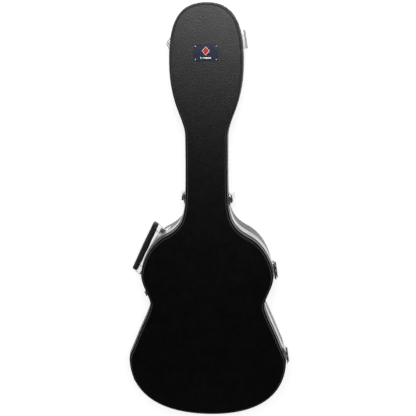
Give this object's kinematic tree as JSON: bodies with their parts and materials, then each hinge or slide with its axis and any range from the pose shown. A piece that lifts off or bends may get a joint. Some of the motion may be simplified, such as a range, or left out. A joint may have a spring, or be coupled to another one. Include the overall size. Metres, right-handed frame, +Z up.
{
  "type": "guitar case",
  "caption": "Moulded hard case for a classical guitar: hinged lid, metal rim, draw latches, swinging carry handle, plush lining and a lidded neck compartment.",
  "frame": {"origin": "middle of the flat back that the case lies on, halfway between the crown of the head and the tail", "axes": "+X towards the tail (lower bout), +Z up through the lid, +Y to the hinged side; handle and most latches on the -Y side"},
  "size_m": [1.075, 0.4323, 0.1331],
  "materials": {
    "abs": "black moulded plastic with a fine leather grain and a low sheen",
    "valance": "satin rolled aluminium rim with light scuffs",
    "chrome": "bright chrome plating on pressed steel",
    "grip": "black moulded grip with a soft sheen",
    "plush": "charcoal plush pile over foam padding",
    "webbing": "black woven tape",
    "plate": null
  },
  "bodies": {
    "bottom": {"bottom_shell": "abs", "bottom_valance": "valance", "bottom_lining": "plush", "neck_rest": "plush", "compartment_wall_head": "plush", "compartment_wall_body": "plush", "handle_bracket_head": "chrome", "handle_bracket_tail": "chrome", "hinge_head_base_leaf": "chrome", "hinge_head_pin": "chrome", "hinge_upper_base_leaf": "chrome", "hinge_upper_pin": "chrome", "hinge_lower_base_leaf": "chrome", "hinge_lower_pin": "chrome", "latch_head_base": "chrome", "latch_head_pin": "chrome", "latch_neck_left_base": "chrome", "latch_neck_left_pin": "chrome", "latch_neck_right_base": "chrome", "latch_neck_right_pin": "chrome", "latch_waist_base": "chrome", "latch_waist_pin": "chrome", "latch_tail_base": "chrome", "latch_tail_pin": "chrome"},
    "lid": {"lid_shell": "abs", "lid_valance": "valance", "lid_lining": "plush", "nameplate": "plate", "nameplate_rivet_crown_left": "chrome", "nameplate_rivet_crown_right": "chrome", "nameplate_rivet_neck_left": "chrome", "nameplate_rivet_neck_right": "chrome", "hinge_head_lid_leaf": "chrome", "hinge_upper_lid_leaf": "chrome", "hinge_lower_lid_leaf": "chrome", "latch_head_keeper": "chrome", "latch_neck_left_keeper": "chrome", "latch_neck_right_keeper": "chrome", "latch_waist_keeper": "chrome", "latch_tail_keeper": "chrome"},
    "lever_head": {"latch_head_lever": "chrome"},
    "claw_head": {"latch_head_claw": "chrome"},
    "lever_neck_left": {"latch_neck_left_lever": "chrome"},
    "claw_neck_left": {"latch_neck_left_claw": "chrome"},
    "lever_neck_right": {"latch_neck_right_lever": "chrome"},
    "claw_neck_right": {"latch_neck_right_claw": "chrome"},
    "lever_waist": {"latch_waist_lever": "chrome"},
    "claw_waist": {"latch_waist_claw": "chrome"},
    "lever_tail": {"latch_tail_lever": "chrome"},
    "claw_tail": {"latch_tail_claw": "chrome"},
    "handle_rings": {"handle_ring_head": "chrome", "handle_ring_tail": "chrome"},
    "handle_grip": {"handle_grip": "grip"},
    "compartment_lid": {"compartment_lid": "plush", "compartment_pull": "webbing"}
  },
  "joints": [
    {"name": "lid_hinge", "type": "hinge", "parent": "bottom", "child": "lid", "pos_m": [0.1242, 0.17807, 0.0905], "axis": [-0.989, -0.1478, 0], "range_deg": [0, 105]},
    {"name": "lever_head", "type": "hinge", "parent": "bottom", "child": "lever_head", "pos_m": [-0.4451, -0.09158, 0.0815], "axis": [-0.9933, 0.1158, 0], "range_deg": [0, 120]},
    {"name": "claw_head", "type": "hinge", "parent": "lever_head", "child": "claw_head", "pos_m": [-0.44538, -0.09396, 0.074], "axis": [-0.9933, 0.1158, 0], "range_deg": [-120, 0]},
    {"name": "lever_neck_left", "type": "hinge", "parent": "bottom", "child": "lever_neck_left", "pos_m": [-0.06778, -0.06056, 0.0815], "axis": [-0.9985, 0.054, 0], "range_deg": [0, 120]},
    {"name": "claw_neck_left", "type": "hinge", "parent": "lever_neck_left", "child": "claw_neck_left", "pos_m": [-0.06791, -0.06295, 0.074], "axis": [-0.9985, 0.054, 0], "range_deg": [-120, 0]},
    {"name": "lever_neck_right", "type": "hinge", "parent": "bottom", "child": "lever_neck_right", "pos_m": [-0.06285, 0.06089, 0.0815], "axis": [0.9977, 0.0683, 0], "range_deg": [0, 120]},
    {"name": "claw_neck_right", "type": "hinge", "parent": "lever_neck_right", "child": "claw_neck_right", "pos_m": [-0.06302, 0.06328, 0.074], "axis": [0.9977, 0.0683, 0], "range_deg": [-120, 0]},
    {"name": "lever_waist", "type": "hinge", "parent": "bottom", "child": "lever_waist", "pos_m": [0.19335, -0.16112, 0.0815], "axis": [-0.9348, -0.355, 0], "range_deg": [0, 120]},
    {"name": "claw_waist", "type": "hinge", "parent": "lever_waist", "child": "claw_waist", "pos_m": [0.1942, -0.16336, 0.074], "axis": [-0.9348, -0.355, 0], "range_deg": [-120, 0]},
    {"name": "lever_tail", "type": "hinge", "parent": "bottom", "child": "lever_tail", "pos_m": [0.44985, -0.19921, 0.0815], "axis": [-0.8921, -0.4518, 0], "range_deg": [0, 120]},
    {"name": "claw_tail", "type": "hinge", "parent": "lever_tail", "child": "claw_tail", "pos_m": [0.45093, -0.20135, 0.074], "axis": [-0.8921, -0.4518, 0], "range_deg": [-120, 0]},
    {"name": "handle_swing", "type": "hinge", "parent": "bottom", "child": "handle_rings", "pos_m": [0.08785, -0.1517, 0.062], "axis": [-0.9041, 0.4274, 0], "range_deg": [0, 70]},
    {"name": "handle_tilt", "type": "hinge", "parent": "handle_rings", "child": "handle_grip", "pos_m": [0.07952, -0.16933, 0.044], "axis": [-0.9041, 0.4274, 0], "range_deg": [-15, 15]},
    {"name": "compartment_hinge", "type": "hinge", "parent": "bottom", "child": "compartment_lid", "pos_m": [-0.2015, 0.0305, 0.048], "axis": [-1, 0, 0], "range_deg": [0, 90]}
  ],
  "couplings": [
    {"joint": "claw_head", "follows": "lever_head", "ratio": -1},
    {"joint": "claw_neck_left", "follows": "lever_neck_left", "ratio": -1},
    {"joint": "claw_neck_right", "follows": "lever_neck_right", "ratio": -1},
    {"joint": "claw_waist", "follows": "lever_waist", "ratio": -1},
    {"joint": "claw_tail", "follows": "lever_tail", "ratio": -1}
  ]
}
